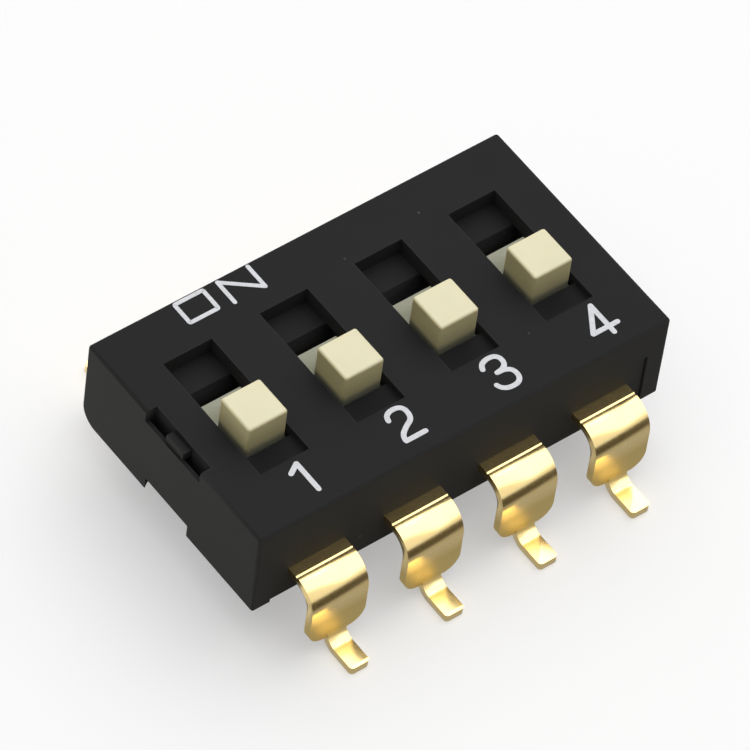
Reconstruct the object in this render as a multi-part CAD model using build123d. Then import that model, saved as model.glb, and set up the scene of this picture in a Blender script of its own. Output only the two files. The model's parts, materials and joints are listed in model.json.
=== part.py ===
from build123d import *
import os

# Slide switch with a row of poles in the surface-mount dual in-line outline, in millimetres.
# X runs along the row, Y points from OFF to ON, Z is up from the seating plane of the feet.

# Row of poles
pole_count = 4
pole_pitch = 2.54
end_margin = 0.42

# Housing as a whole, from the seating plane up
stand_off = 1.27
body_height = 2.48
body_width = 6.2

# Clearances and the overrun of every cut
assembly_gap = 0.02
slide_gap = 0.04
parting_gap = 0.03
overrun = 0.5

# Cover: a cap with full-height end walls and short skirts along the leads
cover_plate = 0.42
end_wall = 0.5
skirt_wall = 0.35
skirt_depth = 0.95
far_corner_radius = 0.5
cover_edge_radius = 0.08
slot_side_gap = 0.12
slot_far_gap = 0.9
pocket_depth = 0.2
pocket_near_gap = 0.66

# Snap windows in the end walls, and the keys of the base that catch on their lips. The window beside pole 1
# cuts through the top edge, and the other one stays closed below it.
window_width = 1.94
window_inset = 0.28
window_depth = 0.33
window_lip = 0.1
well_depth = 0.5
closed_window_drop = 0.3
key_width = 0.6
lug_height = 0.22
lug_set_back = 0.05

# Base, tapered in below the leads on the ON side
base_inset = 0.05
base_taper = 0.25
gate_recess_radius = 1.0
gate_recess_depth = 0.45
gate_stub_radius = 0.2
gate_stub_height = 0.18
pin_notch_radius = 1.0
pin_notch_from_end = 0.65
pin_notch_depth = 0.4
mark_recess_length = 2.5
mark_recess_width = 2.1
mark_recess_depth = 0.4
mark_recess_from_end = 2.05

# Sliders: an upright knob and a low tongue that covers the cell behind it, on a plate that the cover keeps in
slider_travel = 0.9
knob_width = 1.04
knob_length = 1.04
knob_height = 0.68
knob_rest_offset = 0.5
knob_edge_radius = 0.07
tongue_length = 0.57
tongue_overlap = 0.2
tongue_thickness = 0.15
plate_thickness = 0.26
plate_flange = 0.17
plate_near_lip = 0.1
plate_far_lip = 0.14

# Spring leaf under each slider
leaf_thickness = 0.08
leaf_width = 0.9
leaf_height = 0.35
leaf_bend_radius = 0.1
leaf_rest_offset = 0.5
leaf_touch_offset = 0.35
leaf_end_offset = 0.62
leaf_flat_half = 0.1
leaf_tip_lift = 0.14
leaf_gap = 0.03

# Lead frame: stamped strip with an inner pad, a shoulder, a blade with two ears and a narrow tail
strip_thickness = 0.2
pad_width = 0.9
pad_margin = 0.2
terminal_drop = 0.56
riser_radius = 0.2
shoulder_embed = 0.25
shoulder_reach = 0.9
shoulder_outer_radius = 0.65
score_from_body = 0.25
score_width = 0.07
score_depth = 0.03
blade_width = 1.49
blade_bottom = 0.34
blade_corner_radius = 0.42
tail_width = 0.5
foot_length = 0.91
foot_inner_radius = 0.3
foot_corner_radius = 0.1

# Levels and places that follow from the sizes above
body_length = pole_count * pole_pitch + 2 * end_margin
half_length = body_length / 2
half_width = body_width / 2
cover_top = stand_off + body_height
cover_under = cover_top - cover_plate
deck_top = cover_under - assembly_gap
skirt_bottom = cover_top - skirt_depth
ledge = skirt_bottom - parting_gap
inner_end = half_length - end_wall
inner_side = half_width - skirt_wall
plate_top = cover_under - slide_gap
plate_under = plate_top - plate_thickness
floor_top = plate_under - leaf_height - leaf_gap
knob_top = cover_top + knob_height
shoulder_top = floor_top - terminal_drop
pocket_floor = cover_top - pocket_depth
slot_width = knob_width + 2 * slot_side_gap
plate_width = slot_width + 2 * plate_flange
cell_width = plate_width + 2 * slide_gap
knob_near = -knob_rest_offset - knob_length / 2
knob_far = knob_near + knob_length
tongue_far = knob_far + tongue_length
tongue_under = deck_top + slide_gap
plate_near = knob_near - plate_near_lip
plate_far = knob_far + plate_far_lip
cell_near = plate_near - slide_gap
cell_far = plate_far + slider_travel + slide_gap
slot_near = knob_near - slide_gap
slot_far = knob_far + slider_travel + slot_far_gap
pocket_near = knob_near - pocket_near_gap
blade_outer = half_width + shoulder_reach
foot_tip = blade_outer + foot_length
poles = range(1, pole_count + 1)


def pole_x(pole):
    return (pole - (pole_count + 1) / 2) * pole_pitch


def block(x_low, x_high, y_low, y_high, z_low, z_high):
    box = Box(x_high - x_low, y_high - y_low, z_high - z_low)
    return Pos((x_low + x_high) / 2, (y_low + y_high) / 2, (z_low + z_high) / 2) * box


def disc(x, radius, z_low, z_high):
    return Pos(x, 0, (z_low + z_high) / 2) * Cylinder(radius, z_high - z_low)


def strip(points, radii, width, thickness):
    """A flat strip bent along a line of (y, z) points, centred on X = 0."""
    path = FilletPolyline(*[(0, y, z) for y, z in points], radius=radii)
    start = Plane(origin=path @ 0, x_dir=(1, 0, 0), z_dir=path % 0)
    return sweep(start * Rectangle(width, thickness), path=path)


def pin_notch():
    """The half-round notch under the end beside pole 1, through the end wall of the cover."""
    x = pin_notch_from_end - half_length
    return disc(x, pin_notch_radius, stand_off - overrun, stand_off + pin_notch_depth)


def window_floor(end):
    return cover_top - window_depth - (closed_window_drop if end > 0 else 0)


def key(end, gap):
    """Upright key on the end of the base. With a gap it is the groove for it in the cover."""
    outer = half_length - window_inset + gap
    top = window_floor(end) + lug_height + gap
    low = stand_off - (overrun if gap else 0)
    half = key_width / 2 + gap
    x_low, x_high = sorted((end * outer, end * (inner_end - assembly_gap)))
    stem = block(x_low, x_high, -half, half, low, top)
    x_low, x_high = sorted((end * (half_length - lug_set_back), end * inner_end))
    lug = block(x_low, x_high, -half, half, window_floor(end), top)
    return stem + lug


def window(end):
    """The cut through the face of an end wall, and the well behind the lip that stands below it."""
    inner = half_length - window_inset
    half = window_width / 2
    low = window_floor(end)
    high = low + window_depth + (overrun if end < 0 else 0)
    x_low, x_high = sorted((end * (half_length + overrun), end * inner))
    cut = block(x_low, x_high, -half, half, low, high)
    x_low, x_high = sorted((end * (half_length - window_lip), end * inner))
    return cut + block(x_low, x_high, -half, half, low - well_depth, high)


def opening(pole, y_low, y_high, floor):
    """A pocket or slot in the top of the cover, centred on a pole and cut down to a floor."""
    x = pole_x(pole)
    return block(x - slot_width / 2, x + slot_width / 2, y_low, y_high, floor, cover_top + overrun)


def make_cover():
    cap = block(-half_length, half_length, -half_width, half_width, stand_off, cover_top)
    low_far_edge = cap.edges().filter_by(Axis.X).group_by(Axis.Z)[0].sort_by(Axis.Y)[-1]
    cap = fillet(low_far_edge, far_corner_radius)
    sharp_faces = [cap.faces().sort_by(Axis.Z)[-1], *cap.faces().filter_by(Axis.X)]
    sharp_edges = {edge for face in sharp_faces for edge in face.edges()}
    cap = fillet(sharp_edges, cover_edge_radius)
    below = stand_off - overrun
    cap -= block(-inner_end, inner_end, -inner_side, inner_side, below, cover_under)
    reach = half_width + overrun
    cap -= block(-inner_end, inner_end, -reach, reach, below, skirt_bottom)
    for pole in poles:
        cap -= opening(pole, pocket_near, slot_far, pocket_floor)
        cap -= opening(pole, slot_near, slot_far, stand_off)
    for end in (-1, 1):
        cap -= window(end)
        cap -= key(end, assembly_gap)
    return cap - pin_notch()


def base_section():
    """Section of the lower block: upright on the digit side, tapered in below the leads on the ON side."""
    side = half_width - base_inset
    taper_top = shoulder_top - strip_thickness
    outline = [(-side, stand_off), (side - base_taper, stand_off), (side, taper_top),
               (side, ledge), (-side, ledge)]
    return make_face(Plane.YZ * Polyline(*outline, close=True))


def make_base(lead_frame):
    half_block = inner_end - assembly_gap
    low = extrude(base_section(), half_block, both=True)
    deck_side = inner_side - assembly_gap
    body = low + block(-half_block, half_block, -deck_side, deck_side, ledge, deck_top)
    for pole in poles:
        x = pole_x(pole)
        body -= block(x - cell_width / 2, x + cell_width / 2, cell_near, cell_far, floor_top, cover_top)
    for end in (-1, 1):
        body += key(end, 0)
    below = stand_off - overrun
    body -= disc(0, gate_recess_radius, below, stand_off + gate_recess_depth)
    stub_low = stand_off + gate_recess_depth - gate_stub_height
    body += disc(0, gate_stub_radius, stub_low, stand_off + gate_recess_depth)
    mark_x = half_length - mark_recess_from_end
    body -= block(mark_x - mark_recess_length / 2, mark_x + mark_recess_length / 2,
                  -mark_recess_width / 2, mark_recess_width / 2, below, stand_off + mark_recess_depth)
    body -= pin_notch()
    for lead in lead_frame:
        body -= lead
    return body


def make_slider(pole):
    half = knob_width / 2
    knob = block(-half, half, knob_near, knob_far, plate_under, knob_top)
    soft_edges = knob.edges().filter_by(Axis.Z) + knob.faces().sort_by(Axis.Z)[-1].edges()
    knob = fillet(soft_edges, knob_edge_radius)
    tongue = block(-half, half, knob_far - tongue_overlap, tongue_far,
                   tongue_under, tongue_under + tongue_thickness)
    plate = block(-plate_width / 2, plate_width / 2, plate_near, plate_far, plate_under, plate_top)
    return Pos(pole_x(pole), 0, 0) * (knob + tongue + plate)


def make_contact(pole):
    """Leaf that hangs from the slider's plate and touches the pads at two low points."""
    high = plate_under - leaf_thickness / 2
    low = plate_under - leaf_height + leaf_thickness / 2
    half = [(leaf_flat_half, high), (leaf_touch_offset, low), (leaf_end_offset, low + leaf_tip_lift)]
    line = [(-y, z) for y, z in reversed(half)] + half
    bends = [leaf_bend_radius] * (len(line) - 2)
    leaf = strip(line, bends, leaf_width, leaf_thickness)
    return Pos(pole_x(pole), -leaf_rest_offset, 0) * leaf


def blade_front():
    """Front outline of the shoulder and blade, rounded at the two lower ears, as a bar through the part."""
    blade = Pos(0, (blade_bottom + cover_top) / 2) * Rectangle(blade_width, cover_top - blade_bottom)
    blade = fillet(blade.vertices().group_by(Axis.Y)[0], blade_corner_radius)
    return extrude(Plane.XZ * blade, foot_tip + overrun, both=True)


def score_line():
    """Fine groove across the top of a shoulder where its bend starts."""
    y = half_width + score_from_body
    half = score_width / 2
    above = shoulder_top + overrun
    outline = [(y - half, above), (y - half, shoulder_top), (y, shoulder_top - score_depth),
               (y + half, shoulder_top), (y + half, above)]
    section = make_face(Plane.YZ * Polyline(*outline, close=True))
    return extrude(section, blade_width, both=True)


def make_terminal(pole, side):
    """One lead. It is laid out on the ON side and mirrored for the other one."""
    leaf_on = slider_travel - leaf_rest_offset
    if side > 0:
        pad_end = leaf_on + leaf_touch_offset - pad_margin
        riser = leaf_on + leaf_touch_offset + pad_margin + strip_thickness
    else:
        pad_end = -(leaf_on - leaf_touch_offset + pad_margin)
        riser = leaf_rest_offset + leaf_touch_offset + pad_margin + strip_thickness
    half_strip = strip_thickness / 2
    pad_level = floor_top - half_strip
    shoulder_level = shoulder_top - half_strip
    blade_line = blade_outer - half_strip
    shoulder_bend = shoulder_outer_radius - half_strip
    line = [(pad_end, pad_level), (riser, pad_level), (riser, shoulder_level),
            (blade_line, shoulder_level), (blade_line, 0)]
    lead = strip(line, [riser_radius, riser_radius, shoulder_bend], blade_width, strip_thickness)
    neck = half_width - base_inset - shoulder_embed
    inner = block(-pad_width / 2, pad_width / 2, -foot_tip, neck, 0, cover_top)
    outer = block(-blade_width / 2, blade_width / 2, neck, foot_tip, 0, cover_top)
    lead = (lead & (inner + outer) & blade_front()) - score_line()
    tail_line = [(blade_line, shoulder_level - shoulder_bend), (blade_line, half_strip),
                 (foot_tip, half_strip)]
    tail = strip(tail_line, [foot_inner_radius + half_strip], tail_width, strip_thickness)
    tip_corners = tail.edges().filter_by(Axis.Z).group_by(Axis.Y)[-1]
    lead += fillet(tip_corners, foot_corner_radius)
    if side < 0:
        lead = mirror(lead, about=Plane.XZ)
    return Pos(pole_x(pole), 0, 0) * lead


nodes = {}
for pole in poles:
    nodes[f"terminal_near_{pole}"] = make_terminal(pole, -1)
    nodes[f"terminal_far_{pole}"] = make_terminal(pole, 1)
nodes["base"] = make_base(list(nodes.values()))
nodes["cover"] = make_cover()
for pole in poles:
    nodes[f"slider_{pole}"] = make_slider(pole)
    nodes[f"contact_{pole}"] = make_contact(pole)

os.makedirs("parts", exist_ok=True)
for name, shape in nodes.items():
    export_step(shape, f"parts/{name}.step")
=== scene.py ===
"""Looks of a small slide switch: matt moulded plastic, cream sliders, gold-plated leads and white ink."""

import json
import math

import bmesh
import bpy
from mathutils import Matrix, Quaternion, Vector

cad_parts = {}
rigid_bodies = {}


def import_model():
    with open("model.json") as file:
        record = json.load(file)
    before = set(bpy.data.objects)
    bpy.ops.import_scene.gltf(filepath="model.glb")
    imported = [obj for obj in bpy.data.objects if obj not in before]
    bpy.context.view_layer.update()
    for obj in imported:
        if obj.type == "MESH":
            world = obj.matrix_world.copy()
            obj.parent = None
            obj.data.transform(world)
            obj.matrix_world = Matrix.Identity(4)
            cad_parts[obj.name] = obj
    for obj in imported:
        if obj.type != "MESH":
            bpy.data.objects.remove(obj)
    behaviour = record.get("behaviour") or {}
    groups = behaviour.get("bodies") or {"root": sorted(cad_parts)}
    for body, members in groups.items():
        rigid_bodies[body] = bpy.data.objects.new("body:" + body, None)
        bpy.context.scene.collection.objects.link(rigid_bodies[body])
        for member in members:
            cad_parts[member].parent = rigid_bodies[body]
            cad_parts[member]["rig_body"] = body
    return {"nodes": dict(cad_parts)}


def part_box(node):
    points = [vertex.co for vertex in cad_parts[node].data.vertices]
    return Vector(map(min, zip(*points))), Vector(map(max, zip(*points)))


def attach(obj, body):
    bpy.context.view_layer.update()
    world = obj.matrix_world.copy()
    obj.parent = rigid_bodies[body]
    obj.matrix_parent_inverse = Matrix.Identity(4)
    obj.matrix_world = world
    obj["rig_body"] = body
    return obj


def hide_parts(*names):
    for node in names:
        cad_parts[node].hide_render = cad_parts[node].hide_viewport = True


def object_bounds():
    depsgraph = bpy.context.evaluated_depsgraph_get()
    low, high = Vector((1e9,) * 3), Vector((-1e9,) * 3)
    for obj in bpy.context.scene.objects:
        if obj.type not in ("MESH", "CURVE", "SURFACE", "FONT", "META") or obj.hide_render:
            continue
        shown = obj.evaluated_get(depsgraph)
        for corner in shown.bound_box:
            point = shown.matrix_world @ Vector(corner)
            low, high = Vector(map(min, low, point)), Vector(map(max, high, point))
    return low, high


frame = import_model()
cad_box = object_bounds()

MM = 0.001
POLES = (1, 2, 3, 4)

# Dressed copies of the solids: welding, the edges that stay sharp and the softened edges of the leads
WELD_DISTANCE = 0.0001 * MM
SHARP_ANGLE = math.radians(35)
FLAT_ANGLE = math.radians(0.4)
LEAD_EDGE = 0.02 * MM
EDGE_SEGMENTS = 2
FLAT_FACE_WEIGHT = 100

# Level faces and walls, by how much of the normal points up or down
LEVEL_NORMAL = 0.9
WALL_NORMAL = 0.4

# Black plastic: tones of its level faces, inner walls and outer walls, each from its darkest to its palest;
# the paler walls are painted light
BLACK_LEVEL = ((0.0055, 0.0055, 0.006, 1), (0.0085, 0.0085, 0.009, 1))
# The wall tones below are painted light
BLACK_INNER_PAINTED_LIGHT = ((0.0135, 0.0135, 0.014, 1), (0.0185, 0.0185, 0.019, 1))
BLACK_OUTER_PAINTED_LIGHT = ((0.017, 0.0165, 0.0153, 1), (0.0235, 0.0228, 0.021, 1))
BLACK_WORN = (0.024, 0.024, 0.024, 1)
BLACK_DUST = (0.04, 0.04, 0.04, 1)
BLACK_ROUGHNESS = (0.72, 0.84)
BLACK_SPECULAR = 0.18

# Outer walls of the black mouldings: where they begin, and how much smoother they are than the matt faces
OUTER_END = 5.36 * MM
OUTER_SIDE = 2.6 * MM
OUTER_BLEND = 0.03 * MM
WALL_POLISH = 0.08

# Cream plastic: its tones, with walls darkened by painted shade, how light spreads in it, and the heights
# over which painted shade sets in low on the sliders
CREAM_LEVEL = ((0.72, 0.672, 0.44, 1), (0.785, 0.738, 0.515, 1))
# The darker wall tones are painted shade
CREAM_WALL_PAINTED_SHADE = ((0.56, 0.49, 0.25, 1), (0.64, 0.57, 0.31, 1))
CREAM_WORN = (0.8, 0.77, 0.6, 1)
CREAM_DUST = (0.3, 0.27, 0.17, 1)
# Tone of the painted shade low on the sliders
CREAM_PAINTED_SHADE = (0.25, 0.25, 0.18, 1)
CREAM_ROUGHNESS = (0.42, 0.55)
CREAM_SPREAD = 0.2
CREAM_SPREAD_RADIUS = (1.0, 0.8, 0.35)
CREAM_SPREAD_DEPTH = 0.15 * MM
# Heights over which that painted shade sets in
PAINTED_SHADE_START = 3.8 * MM
PAINTED_SHADE_FULL = 3.62 * MM

# Gold plate on rolled strip, whose grain is drawn out along the leads
GOLD = ((0.9, 0.67, 0.28, 1), (0.95, 0.75, 0.37, 1))
# Darker tone of the painted shade in the crook of each foot
GOLD_CROOK_SHADE = (0.68, 0.52, 0.2, 1)
GOLD_ROUGHNESS = (0.18, 0.26)
ROLLED_SCALE = (1.0, 0.03, 0.03)

# Crook of each foot: heights where its painted shade sets in from above and from below, and how much rougher
# it is
CROOK_TOP = (1.4 * MM, 0.95 * MM)
CROOK_BOTTOM = (0.27 * MM, 0.4 * MM)
CROOK_DULLNESS = 0.28

# White ink on the cover; each stroke of a sign lies just above the one before, so that no two coincide
INK = ((0.5, 0.51, 0.53, 1), (0.78, 0.79, 0.82, 1))
INK_ROUGHNESS = (0.5, 0.65)
INK_THICKNESS = 0.01 * MM
INK_SUNK = 0.004 * MM
STROKE_LIFT = 0.0012 * MM
DIGIT_STROKE = 0.122 * MM
LETTER_STROKE = 0.1 * MM
CAP_STEPS = 8
CURVE_STEPS = 7

# Strokes of the print: how each is drawn, whether it closes, and its points in shares of the sign's box
STRAIGHT, ROUND = "straight", "round"
LETTER_O_SHARES = [(0.1, 0), (0.5, 0), (0.9, 0), (1, 0), (1, 0.12), (1, 0.5), (1, 0.88), (1, 1),
                   (0.9, 1), (0.5, 1), (0.1, 1), (0, 1), (0, 0.88), (0, 0.5), (0, 0.12), (0, 0)]
LETTER_SHARES = {
    "letter_o": [(ROUND, True, LETTER_O_SHARES)],
    "letter_n": [(STRAIGHT, False, [(0, 0), (0, 1)]), (STRAIGHT, False, [(0, 1), (1, 0)]),
                 (STRAIGHT, False, [(1, 0), (1, 1)])],
}
DIGIT_SHARES = {
    1: [(STRAIGHT, False, [(0.1, 0.8), (0.5, 1)]), (STRAIGHT, False, [(0.5, 1), (0.5, 0)])],
    2: [(ROUND, False, [(0, 0.8), (0.05, 1.05), (0.95, 1.05), (0.95, 0.55), (0.45, 0.4), (0, 0.18), (0, 0)]),
        (STRAIGHT, False, [(0, 0), (1, 0)])],
    3: [(ROUND, False, [(0, 0.82), (0.1, 1.05), (0.95, 1.05), (0.95, 0.55), (0.4, 0.53)]),
        (ROUND, False, [(0.4, 0.53), (1.05, 0.54), (1.05, -0.05), (0.1, -0.05), (0, 0.2)])],
    4: [(STRAIGHT, False, [(0.65, 0), (0.65, 1)]), (STRAIGHT, False, [(0.65, 1), (0, 0.22)]),
        (STRAIGHT, False, [(0, 0.22), (1, 0.22)])],
}

# Places of the print in millimetres: X of a sign's left and right, counted for a digit from the middle of its
# slider, and Y of its foot and head
LETTER_PLACES = {"letter_o": (-3.31, -2.56, 2.41, 2.99), "letter_n": (-2.17, -1.36, 2.35, 2.99)}
DIGIT_PLACES = {1: (-0.15, 0.49, -2.65, -1.86), 2: (-0.05, 0.46, -2.64, -1.85),
                3: (-0.06, 0.48, -2.65, -1.85), 4: (0.0, 0.66, -2.7, -1.86)}

# Camera: the photograph's own direction and distance, with the frame closed in on the switch
PHOTO_AZIMUTH = math.radians(-43.57)
PHOTO_ELEVATION = math.radians(51.5)
PHOTO_ROLL = math.radians(8.58)
PHOTO_DISTANCE = 159.5 * MM
AIM_HEIGHT = 2.26 * MM
CAMERA_LENS = 356.0
CAMERA_SENSOR = 36.0
CLIP_SHARE = 0.1

# Floor and room
WHITE = (1, 1, 1, 1)
FLOOR_RADIUS = 1.2
FLOOR_SEGMENTS = 96
FLOOR_DROP = 0.01 * MM
FLOOR_COLOUR = (0.97, 0.97, 0.97, 1)
FLOOR_ROUGHNESS = 0.9
FLOOR_SPECULAR = 0.1
FLOOR_LIFT = 0.4
ROOM_LEVEL = 0.2
BACKGROUND_WHITE = 1.0

# Cards that the leads mirror, which glow as painted reflections: a table that is pale beside the leads and
# dark further out, the shade under the switch, and a white reflector
CARD_NEAR = -3.2 * MM
CARD_FAR = -60 * MM
CARD_HALF_WIDTH = 60 * MM
CARD_RISE = 7 * MM
CARD_FADE = (-6.0 * MM, -7.2 * MM)
CARD_PAINTED_SHADE = (0.44, 0.44, 0.43, 1)
CARD_DARK = (0.08, 0.07, 0.055, 1)
CARD_HEIGHT = cad_box[0].z - FLOOR_DROP / 2
SHADE_HEIGHT = cad_box[0].z - FLOOR_DROP / 3
SHADE_INSET = 0.2 * MM
SHADE_LEVEL = 0.08
REFLECTOR_LEVEL = 2.2


# Small helpers for node trees

def add_node(tree, kind, settings=None, **sockets):
    """A new node with its properties from settings and its input sockets from keywords."""
    node = tree.nodes.new(kind)
    for name, value in (settings or {}).items():
        setattr(node, name, value)
    for name, value in sockets.items():
        node.inputs[name.replace("_", " ")].default_value = value
    return node


def link(tree, source, output, target, socket):
    """Feeds a node's socket from another node's output."""
    tree.links.new(source.outputs[output], target.inputs[socket])


def new_group(name, inputs, outputs):
    """A shader node group with named sockets, and its input and output nodes."""
    group = bpy.data.node_groups.new(name, "ShaderNodeTree")
    for way, sockets in (("INPUT", inputs), ("OUTPUT", outputs)):
        for socket, kind in sockets.items():
            group.interface.new_socket(socket, in_out=way, socket_type=kind)
    return group, group.nodes.new("NodeGroupInput"), group.nodes.new("NodeGroupOutput")


def place_group(tree, group, **sockets):
    """A group placed in a tree, with its own values."""
    return add_node(tree, "ShaderNodeGroup", {"node_tree": group}, **sockets)


def new_material(name):
    """A material, its tree and its Principled shader."""
    material = bpy.data.materials.new(name)
    material.use_nodes = True
    return material, material.node_tree, material.node_tree.nodes["Principled BSDF"]


def split(tree, source, output):
    """The X, Y and Z of a vector."""
    parts = add_node(tree, "ShaderNodeSeparateXYZ")
    link(tree, source, output, parts, "Vector")
    return parts


def absolute(tree, source, output):
    """A value without its sign."""
    node = add_node(tree, "ShaderNodeMath", {"operation": "ABSOLUTE"})
    link(tree, source, output, node, 0)
    return node


def combine(tree, operation, first, second, clamp=False):
    """One value made of two others, each given as a node and its output."""
    node = add_node(tree, "ShaderNodeMath", {"operation": operation, "use_clamp": clamp})
    for socket, (source, output) in enumerate((first, second)):
        link(tree, source, output, node, socket)
    return node


def ramp(tree, source, output, start, full):
    """A mask that grows from nothing where a value is at start to one where it is at full."""
    reach = add_node(tree, "ShaderNodeMapRange", From_Min=start, From_Max=full)
    link(tree, source, output, reach, "Value")
    return reach


def stretch(tree, source, output, low, high):
    """A factor stretched from 0..1 to low..high."""
    wider = add_node(tree, "ShaderNodeMapRange", To_Min=low, To_Max=high)
    link(tree, source, output, wider, "Value")
    return wider


def add_where(tree, base, mask, output, amount):
    """A stretched factor, with an amount added where a mask says."""
    total = add_node(tree, "ShaderNodeMath", {"operation": "MULTIPLY_ADD"})
    total.inputs[1].default_value = amount
    link(tree, mask, output, total, 0)
    link(tree, base, "Result", total, 2)
    return total


def blend_colours(tree, factor, output, low, high):
    """A colour that runs from low to high with a factor."""
    mix = add_node(tree, "ShaderNodeMix", {"data_type": "RGBA"})
    mix.inputs["A"].default_value = low
    mix.inputs["B"].default_value = high
    link(tree, factor, output, mix, "Factor")
    return mix


def lay_over(tree, under, mask, output, over):
    """A mixed colour, with a plain or another mixed colour laid over it where a mask says."""
    mix = add_node(tree, "ShaderNodeMix", {"data_type": "RGBA"})
    link(tree, under, "Result", mix, "A")
    link(tree, mask, output, mix, "Factor")
    if isinstance(over, bpy.types.Node):
        link(tree, over, "Result", mix, "B")
    else:
        mix.inputs["B"].default_value = over
    return mix


def add_bump(tree, source, output, shader, strength, depth):
    """Fine relief on a surface."""
    bump = add_node(tree, "ShaderNodeBump", Strength=strength, Distance=depth)
    link(tree, source, output, bump, "Height")
    link(tree, bump, "Normal", shader, "Normal")


def mix_shaders(tree, factor, output, first, second):
    """A shader that runs from the first to the second with a factor."""
    mix = add_node(tree, "ShaderNodeMixShader")
    link(tree, factor, output, mix, "Fac")
    for socket, shader in enumerate((first, second), start=1):
        link(tree, shader, 0, mix, socket)
    return mix


# Effects that several finishes share

VECTOR, VALUE = "NodeSocketVector", "NodeSocketFloat"


def make_moulded_grain():
    """Fine spark-eroded grain of a moulded face, and its broad cloudiness."""
    group, given, made = new_group(
        "moulded grain", {"Vector": VECTOR, "Fine Scale": VALUE, "Broad Scale": VALUE},
        {"Height": VALUE, "Cloud": VALUE})
    fine = add_node(group, "ShaderNodeTexNoise", Detail=3.0, Roughness=0.6)
    broad = add_node(group, "ShaderNodeTexNoise", Detail=4.0, Roughness=0.55)
    for texture, scale, output in ((fine, "Fine Scale", "Height"), (broad, "Broad Scale", "Cloud")):
        link(group, given, "Vector", texture, "Vector")
        link(group, given, scale, texture, "Scale")
        link(group, texture, "Fac", made, output)
    return group


def make_caught_edge():
    """Mask of the outer edges, which handling has polished."""
    group, given, made = new_group("caught edge", {"Radius": VALUE, "Full Turn": VALUE}, {"Edge": VALUE})
    rounded = add_node(group, "ShaderNodeBevel", {"samples": 8})
    surface = add_node(group, "ShaderNodeNewGeometry")
    likeness = add_node(group, "ShaderNodeVectorMath", {"operation": "DOT_PRODUCT"})
    turn = add_node(group, "ShaderNodeMath", {"operation": "SUBTRACT"})
    turn.inputs[0].default_value = 1.0
    link(group, given, "Radius", rounded, "Radius")
    link(group, rounded, "Normal", likeness, 0)
    link(group, surface, "Normal", likeness, 1)
    link(group, likeness, "Value", turn, 1)
    mask = combine(group, "DIVIDE", (turn, "Value"), (given, "Full Turn"), clamp=True)
    link(group, mask, "Value", made, "Edge")
    return group


def make_fine_specks():
    """Sparse specks of lint and mould dust."""
    group, given, made = new_group(
        "fine specks", {"Vector": VECTOR, "Scale": VALUE, "Size": VALUE, "Share": VALUE}, {"Speck": VALUE})
    cells = add_node(group, "ShaderNodeTexVoronoi", {"feature": "F1"})
    pick = add_node(group, "ShaderNodeSeparateColor")
    link(group, given, "Vector", cells, "Vector")
    link(group, given, "Scale", cells, "Scale")
    link(group, cells, "Color", pick, "Color")
    near = combine(group, "LESS_THAN", (cells, "Distance"), (given, "Size"))
    chosen = combine(group, "LESS_THAN", (pick, "Red"), (given, "Share"))
    speck = combine(group, "MULTIPLY", (near, "Value"), (chosen, "Value"))
    link(group, speck, "Value", made, "Speck")
    return group


def make_upright_faces():
    """Mask of the walls against the faces that look up or down."""
    group, given, made = new_group("upright faces", {"Normal": VECTOR}, {"Upright": VALUE})
    level = absolute(group, split(group, given, "Normal"), "Z")
    mask = ramp(group, level, "Value", LEVEL_NORMAL, WALL_NORMAL)
    link(group, mask, "Result", made, "Upright")
    return group


moulded_grain = make_moulded_grain()
caught_edge = make_caught_edge()
fine_specks = make_fine_specks()
upright_faces = make_upright_faces()


# Finishes

def mould_surface(tree, place, grain, edge, specks):
    """Grain, polished edges and specks of a moulding, each group with its own values."""
    grain = place_group(tree, moulded_grain, **grain)
    edge = place_group(tree, caught_edge, **edge)
    specks = place_group(tree, fine_specks, **specks)
    for group in (grain, specks):
        link(tree, place, "Object", group, "Vector")
    return grain, edge, specks


def mask_walls(tree, place):
    """Mask of every wall of a moulding."""
    walls = place_group(tree, upright_faces)
    link(tree, place, "Normal", walls, "Normal")
    return walls


def mask_outer_walls(tree, place, walls):
    """Mask of the switch's outside walls, without those of its slots and windows."""
    parts = split(tree, place, "Object")
    end, side = (ramp(tree, absolute(tree, parts, axis), "Value", start, start + OUTER_BLEND)
                 for axis, start in (("X", OUTER_END), ("Y", OUTER_SIDE)))
    either = combine(tree, "MAXIMUM", (end, "Result"), (side, "Result"))
    return combine(tree, "MULTIPLY", (either, "Value"), (walls, "Upright"))


def make_black_plastic():
    """Matt black moulding, with painted light that makes its walls a little paler, and smoother on the outer
    ones.
    """
    material, tree, shader = new_material("black moulded plastic")
    place = add_node(tree, "ShaderNodeTexCoord")
    grain, edge, specks = mould_surface(
        tree, place, grain={"Fine_Scale": 24000.0, "Broad_Scale": 700.0},
        edge={"Radius": 0.045 * MM, "Full_Turn": 0.25}, specks={"Scale": 1900.0, "Size": 0.09, "Share": 0.1})
    walls = mask_walls(tree, place)
    outer = mask_outer_walls(tree, place, walls)
    tone = blend_colours(tree, grain, "Cloud", *BLACK_LEVEL)
    # Paler tones on the inner and outer walls are painted light
    tone = lay_over(tree, tone, walls, "Upright", blend_colours(tree, grain, "Cloud", *BLACK_INNER_PAINTED_LIGHT))
    tone = lay_over(tree, tone, outer, "Value", blend_colours(tree, grain, "Cloud", *BLACK_OUTER_PAINTED_LIGHT))
    tone = lay_over(tree, tone, edge, "Edge", BLACK_WORN)
    tone = lay_over(tree, tone, specks, "Speck", BLACK_DUST)
    link(tree, tone, "Result", shader, "Base Color")
    matt = stretch(tree, grain, "Cloud", *BLACK_ROUGHNESS)
    link(tree, add_where(tree, matt, outer, "Value", -WALL_POLISH), "Value", shader, "Roughness")
    add_bump(tree, grain, "Height", shader, strength=0.35, depth=0.004 * MM)
    shader.inputs["Specular IOR Level"].default_value = BLACK_SPECULAR
    return material


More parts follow.
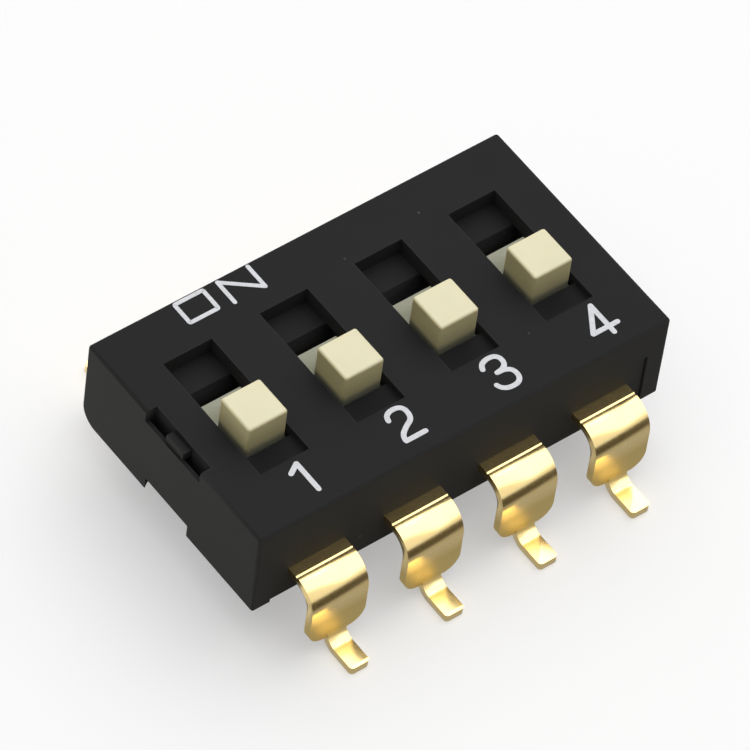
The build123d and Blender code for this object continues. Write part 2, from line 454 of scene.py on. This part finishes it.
def make_cream_plastic():
    """Cream moulding, with painted shade on its walls and where it runs inside the slot."""
    material, tree, shader = new_material("cream moulded plastic")
    place = add_node(tree, "ShaderNodeTexCoord")
    grain, edge, specks = mould_surface(
        tree, place, grain={"Fine_Scale": 18000.0, "Broad_Scale": 1600.0},
        edge={"Radius": 0.06 * MM, "Full_Turn": 0.3}, specks={"Scale": 3600.0, "Size": 0.08, "Share": 0.05})
    walls = mask_walls(tree, place)
    # Painted shade: darker low on the sliders, below the cover's top
    painted_shade = ramp(tree, split(tree, place, "Object"), "Z", PAINTED_SHADE_START, PAINTED_SHADE_FULL)
    tone = blend_colours(tree, grain, "Cloud", *CREAM_LEVEL)
    # Darker walls are painted shade
    tone = lay_over(tree, tone, walls, "Upright", blend_colours(tree, grain, "Cloud", *CREAM_WALL_PAINTED_SHADE))
    tone = lay_over(tree, tone, edge, "Edge", CREAM_WORN)
    tone = lay_over(tree, tone, specks, "Speck", CREAM_DUST)
    tone = lay_over(tree, tone, painted_shade, "Result", CREAM_PAINTED_SHADE)
    link(tree, tone, "Result", shader, "Base Color")
    link(tree, stretch(tree, grain, "Cloud", *CREAM_ROUGHNESS), "Result", shader, "Roughness")
    add_bump(tree, grain, "Height", shader, strength=0.25, depth=0.004 * MM)
    shader.inputs["Subsurface Weight"].default_value = CREAM_SPREAD
    shader.inputs["Subsurface Radius"].default_value = CREAM_SPREAD_RADIUS
    shader.inputs["Subsurface Scale"].default_value = CREAM_SPREAD_DEPTH
    return material


def make_gold_plate():
    """Rolled and plated strip, with painted shade and a rougher finish in the crook of each foot."""
    material, tree, shader = new_material("gold plate")
    place = add_node(tree, "ShaderNodeTexCoord")
    along = add_node(tree, "ShaderNodeMapping", Scale=ROLLED_SCALE)
    rolled = place_group(tree, moulded_grain, Fine_Scale=42000.0, Broad_Scale=9000.0)
    clouds = place_group(tree, moulded_grain, Fine_Scale=9000.0, Broad_Scale=1500.0)
    link(tree, place, "Object", along, "Vector")
    link(tree, along, "Vector", rolled, "Vector")
    link(tree, place, "Object", clouds, "Vector")
    parts = split(tree, place, "Object")
    above, below = (ramp(tree, parts, "Z", *heights) for heights in (CROOK_TOP, CROOK_BOTTOM))
    crook = combine(tree, "MULTIPLY", (above, "Result"), (below, "Result"))
    tone = blend_colours(tree, clouds, "Cloud", *GOLD)
    # Darker gold in the crook of each foot is painted shade
    tone = lay_over(tree, tone, crook, "Value", GOLD_CROOK_SHADE)
    link(tree, tone, "Result", shader, "Base Color")
    bright = stretch(tree, rolled, "Cloud", *GOLD_ROUGHNESS)
    link(tree, add_where(tree, bright, crook, "Value", CROOK_DULLNESS), "Value", shader, "Roughness")
    add_bump(tree, rolled, "Height", shader, strength=0.05, depth=0.0015 * MM)
    shader.inputs["Metallic"].default_value = 1.0
    return material


def make_white_ink():
    """Thin white ink, uneven where it lies on the grain of the plastic."""
    material, tree, shader = new_material("white ink")
    place = add_node(tree, "ShaderNodeTexCoord")
    grain = place_group(tree, moulded_grain, Fine_Scale=30000.0, Broad_Scale=9000.0)
    link(tree, place, "Object", grain, "Vector")
    link(tree, blend_colours(tree, grain, "Cloud", *INK), "Result", shader, "Base Color")
    link(tree, stretch(tree, grain, "Cloud", *INK_ROUGHNESS), "Result", shader, "Roughness")
    add_bump(tree, grain, "Height", shader, strength=0.3, depth=0.003 * MM)
    return material


# The switch's own pieces

def make_object(name, shape, material):
    """An object in the scene, made of a finished shape and one material."""
    mesh = bpy.data.meshes.new(name)
    shape.to_mesh(mesh)
    shape.free()
    mesh.materials.append(material)
    made = bpy.data.objects.new(name, mesh)
    bpy.context.scene.collection.objects.link(made)
    return made


def dress(node, finish, edge_radius=0):
    """A copy of a solid with welded faces, softened edges and smooth bends, which stands for it."""
    shape = bmesh.new()
    shape.from_mesh(frame["nodes"][node].data)
    bmesh.ops.remove_doubles(shape, verts=shape.verts, dist=WELD_DISTANCE)
    bmesh.ops.dissolve_limit(shape, angle_limit=FLAT_ANGLE, verts=shape.verts, edges=shape.edges)
    if edge_radius:
        sharp = [edge for edge in shape.edges if edge.is_convex and edge.calc_face_angle(0) > SHARP_ANGLE]
        bmesh.ops.bevel(shape, geom=sharp, offset=edge_radius, offset_type="OFFSET", segments=EDGE_SEGMENTS,
                        profile=0.5, affect="EDGES", clamp_overlap=True, material=-1)
    piece = make_object(node + "_skin", shape, finish)
    piece.data.shade_smooth()
    piece.data.set_sharp_from_angle(angle=SHARP_ANGLE)
    flats = piece.modifiers.new("flat faces stay flat", "WEIGHTED_NORMAL")
    flats.mode = "FACE_AREA"
    flats.weight = FLAT_FACE_WEIGHT
    flats.keep_sharp = True
    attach(piece, frame["nodes"][node]["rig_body"])
    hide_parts(node)
    return piece


def finish_node(node, finish):
    """Gives a solid that stays as it is its finish."""
    mesh = frame["nodes"][node].data
    mesh.materials.clear()
    mesh.materials.append(finish)


def smooth_line(points, closed):
    """Points along a curve that the given points pull towards them, from the first one to the last."""
    if closed:
        points = points + points[:2]
    middles = [(one + other) / 2 for one, other in zip(points, points[1:])]
    if not closed:
        middles[0], middles[-1] = points[0], points[-1]
    line = [middles[0]]
    for start, pull, end in zip(middles, points[1:], middles[1:]):
        for step in range(1, CURVE_STEPS + 1):
            t = step / CURVE_STEPS
            line.append(start * (1 - t) ** 2 + pull * 2 * t * (1 - t) + end * t ** 2)
    return line[:-1] if closed else line


def side_steps(line, closed):
    """Unit vectors across a line at each of its points."""
    count = len(line)
    across = []
    for index in range(count):
        before = line[index - 1] if closed or index else line[0]
        after = line[(index + 1) % count] if closed or index + 1 < count else line[-1]
        along = (after - before).normalized()
        across.append(Vector((-along.y, along.x, 0)))
    return across


def round_end(shape, centre, across, outward, half):
    """Vertices of a half-round pen end, from one side of the stroke to the other."""
    turns = [math.pi * step / CAP_STEPS for step in range(1, CAP_STEPS)]
    return [shape.verts.new(centre + across * math.cos(turn) * half + outward * math.sin(turn) * half)
            for turn in turns]


def add_stroke(shape, line, closed, half):
    """One pen stroke as a flat ribbon with round ends."""
    across = side_steps(line, closed)
    lefts = [shape.verts.new(point + step * half) for point, step in zip(line, across)]
    rights = [shape.verts.new(point - step * half) for point, step in zip(line, across)]
    for index in range(0 if closed else 1, len(line)):
        shape.faces.new((lefts[index - 1], rights[index - 1], rights[index], lefts[index]))
    if not closed:
        for point, step, left, right, turn in ((line[0], across[0], lefts[0], rights[0], -1),
                                               (line[-1], across[-1], lefts[-1], rights[-1], 1)):
            outward = Vector((step.y, -step.x, 0)) * turn
            shape.faces.new([left] + round_end(shape, point, step, outward, half) + [right])


def print_sign(name, strokes, stroke_width, low, high, finish):
    """A sign of white ink in the box from low to high; its strokes are points in shares of that box."""
    size = high - low
    shape = bmesh.new()
    for number, (kind, closed, shares) in enumerate(strokes):
        level = low.z - INK_SUNK + number * STROKE_LIFT
        points = [Vector((low.x + x * size.x, low.y + y * size.y, level)) for x, y in shares]
        line = smooth_line(points, closed) if kind == ROUND else points
        add_stroke(shape, line, closed, stroke_width / 2)
    bmesh.ops.recalc_face_normals(shape, faces=shape.faces)
    raised = bmesh.ops.extrude_face_region(shape, geom=list(shape.faces), use_keep_orig=True)
    verts = [item for item in raised["geom"] if isinstance(item, bmesh.types.BMVert)]
    bmesh.ops.translate(shape, verts=verts, vec=(0, 0, INK_THICKNESS))
    bmesh.ops.recalc_face_normals(shape, faces=shape.faces)
    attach(make_object(name, shape, finish), "housing")


def sign_box(place, middle, top):
    """Two opposite corners of a sign's box on the cover's top."""
    left, right, foot, head = (distance * MM for distance in place)
    return Vector((middle + left, foot, top)), Vector((middle + right, head, top))


def print_cover(finish):
    """ON along the far edge, and a digit in front of each slot."""
    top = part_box("cover")[1].z
    for name, place in LETTER_PLACES.items():
        low, high = sign_box(place, 0, top)
        print_sign("print_" + name, LETTER_SHARES[name], LETTER_STROKE, low, high, finish)
    for pole, place in DIGIT_PLACES.items():
        slider_low, slider_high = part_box(f"slider_{pole}")
        low, high = sign_box(place, (slider_low.x + slider_high.x) / 2, top)
        print_sign(f"print_digit_{pole}", DIGIT_SHARES[pole], DIGIT_STROKE, low, high, finish)


# Studio

def aim(elevation, azimuth):
    """Unit vector from the switch towards a place round it; azimuth 0 is in front of the digits."""
    return Vector((math.sin(azimuth) * math.cos(elevation), -math.cos(azimuth) * math.cos(elevation),
                   math.sin(elevation)))


def add_softbox(name, azimuth, elevation, distance, size, watts):
    """A square lamp that faces the switch."""
    lamp = bpy.data.lights.new(name, "AREA")
    lamp.shape = "SQUARE"
    lamp.size = size
    lamp.energy = watts
    towards = aim(math.radians(elevation), math.radians(azimuth))
    box = bpy.data.objects.new(name, lamp)
    box.location = towards * distance
    box.rotation_mode = "QUATERNION"
    box.rotation_quaternion = towards.to_track_quat("Z", "Y")
    bpy.context.scene.collection.objects.link(box)


def seen_rays(tree):
    """One for the rays of the camera, of mirror images and through clear bodies, and nothing for the rest."""
    path = add_node(tree, "ShaderNodeLightPath")
    seen = combine(tree, "ADD", (path, "Is Camera Ray"), (path, "Is Glossy Ray"))
    return combine(tree, "ADD", (seen, "Value"), (path, "Is Transmission Ray"), clamp=True)


def make_floor():
    """A pale round floor, clear from below so that the underside can be seen."""
    material, tree, shader = new_material("pale floor")
    shader.inputs["Base Color"].default_value = FLOOR_COLOUR
    shader.inputs["Roughness"].default_value = FLOOR_ROUGHNESS
    shader.inputs["Specular IOR Level"].default_value = FLOOR_SPECULAR
    white = add_node(tree, "ShaderNodeEmission", Color=WHITE, Strength=BACKGROUND_WHITE)
    lift = add_node(tree, "ShaderNodeMath", {"operation": "MULTIPLY"})
    lift.inputs[1].default_value = FLOOR_LIFT
    link(tree, seen_rays(tree), "Value", lift, 0)
    pale = mix_shaders(tree, lift, "Value", shader, white)
    surface = add_node(tree, "ShaderNodeNewGeometry")
    clear = add_node(tree, "ShaderNodeBsdfTransparent")
    whole = mix_shaders(tree, surface, "Backfacing", pale, clear)
    link(tree, whole, "Shader", tree.nodes["Material Output"], "Surface")
    shape = bmesh.new()
    bmesh.ops.create_circle(shape, cap_ends=True, segments=FLOOR_SEGMENTS, radius=FLOOR_RADIUS)
    bmesh.ops.translate(shape, verts=shape.verts, vec=(0, 0, cad_box[0].z - FLOOR_DROP))
    make_object("floor", shape, material)


def glowing_material(name, level=1.0):
    """A material that shows one even tone, whatever light falls on it."""
    material, tree, shader = new_material(name)
    tree.nodes.remove(shader)
    glow = add_node(tree, "ShaderNodeEmission", Color=WHITE, Strength=level)
    link(tree, glow, "Emission", tree.nodes["Material Output"], "Surface")
    return material


def add_card(name, corners, material):
    """A flat card that shows only in mirror images and sheen."""
    shape = bmesh.new()
    shape.faces.new([shape.verts.new(corner) for corner in corners])
    card = make_object(name, shape, material)
    card.visible_camera = False
    card.visible_diffuse = False
    card.visible_shadow = False


def make_table_card():
    """A glowing card on the table in front of the digits, a painted reflection: pale shade beside the leads,
    dark and rising further out.
    """
    material = glowing_material("table card")
    tree = material.node_tree
    place = add_node(tree, "ShaderNodeTexCoord")
    fade = ramp(tree, split(tree, place, "Object"), "Y", *CARD_FADE)
    # The card's tones are painted reflections: shaded table beside the leads, dark further out
    tone = blend_colours(tree, fade, "Result", CARD_PAINTED_SHADE, CARD_DARK)
    link(tree, tone, "Result", tree.nodes["Emission"], "Color")
    profile = [(CARD_NEAR, CARD_HEIGHT), (CARD_FADE[1], CARD_HEIGHT), (CARD_FAR, CARD_HEIGHT + CARD_RISE)]
    for part, (near, far) in enumerate(zip(profile, profile[1:]), start=1):
        add_card(f"table_card_{part}", [(-CARD_HALF_WIDTH, *far), (CARD_HALF_WIDTH, *far),
                                        (CARD_HALF_WIDTH, *near), (-CARD_HALF_WIDTH, *near)], material)


def make_shade_card():
    """The shade on the table under the switch, as the leads mirror it."""
    low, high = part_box("base")
    left, right = low.x + SHADE_INSET, high.x - SHADE_INSET
    near, far = low.y + SHADE_INSET, high.y - SHADE_INSET
    corners = [(left, near, SHADE_HEIGHT), (right, near, SHADE_HEIGHT),
               (right, far, SHADE_HEIGHT), (left, far, SHADE_HEIGHT)]
    add_card("shade_card", corners, glowing_material("shade card", SHADE_LEVEL))


def make_reflector(azimuth, elevation, distance, size):
    """A white card that brightens the bends of the leads."""
    towards = aim(math.radians(elevation), math.radians(azimuth))
    turn = towards.to_track_quat("Z", "Y")
    half = size / 2
    corners = [towards * distance + turn @ Vector((x, y, 0))
               for x, y in ((-half, -half), (half, -half), (half, half), (-half, half))]
    add_card("reflector", corners, glowing_material("reflector", REFLECTOR_LEVEL))


def light_room():
    """White behind the switch and in its mirror images, and a soft even light from all round."""
    world = bpy.data.worlds.new("studio")
    bpy.context.scene.world = world
    world.use_nodes = True
    tree = world.node_tree
    room = tree.nodes["Background"]
    room.inputs["Color"].default_value = WHITE
    room.inputs["Strength"].default_value = ROOM_LEVEL
    white = add_node(tree, "ShaderNodeBackground", Color=WHITE, Strength=BACKGROUND_WHITE)
    mix = mix_shaders(tree, seen_rays(tree), "Value", room, white)
    link(tree, mix, "Shader", tree.nodes["World Output"], "Surface")


def place_camera():
    """The camera where the photograph was taken from, aimed at the middle of the switch."""
    data = bpy.data.cameras.new("camera")
    data.sensor_width = CAMERA_SENSOR
    data.lens = CAMERA_LENS
    data.clip_start = PHOTO_DISTANCE * CLIP_SHARE
    camera = bpy.data.objects.new("camera", data)
    back = aim(PHOTO_ELEVATION, PHOTO_AZIMUTH)
    camera.location = Vector((0, 0, AIM_HEIGHT)) + back * PHOTO_DISTANCE
    camera.rotation_mode = "QUATERNION"
    camera.rotation_quaternion = back.to_track_quat("Z", "Y") @ Quaternion((0, 0, 1), PHOTO_ROLL)
    bpy.context.scene.collection.objects.link(camera)
    bpy.context.scene.camera = camera


# Assembly

black_plastic = make_black_plastic()
cream_plastic = make_cream_plastic()
gold_plate = make_gold_plate()
white_ink = make_white_ink()

for moulding in ("base", "cover"):
    dress(moulding, black_plastic)
for pole in POLES:
    dress(f"slider_{pole}", cream_plastic)
    finish_node(f"contact_{pole}", gold_plate)
    for side in ("near", "far"):
        dress(f"terminal_{side}_{pole}", gold_plate, LEAD_EDGE)
print_cover(white_ink)

make_floor()
make_table_card()
make_shade_card()
make_reflector(azimuth=55, elevation=45, distance=0.3, size=0.3)
light_room()
add_softbox("key_softbox", azimuth=132, elevation=58, distance=0.45, size=0.44, watts=0.52)
add_softbox("top_softbox", azimuth=140, elevation=76, distance=0.45, size=0.9, watts=2.9)
place_camera()
bpy.context.scene.view_settings.view_transform = "Standard"
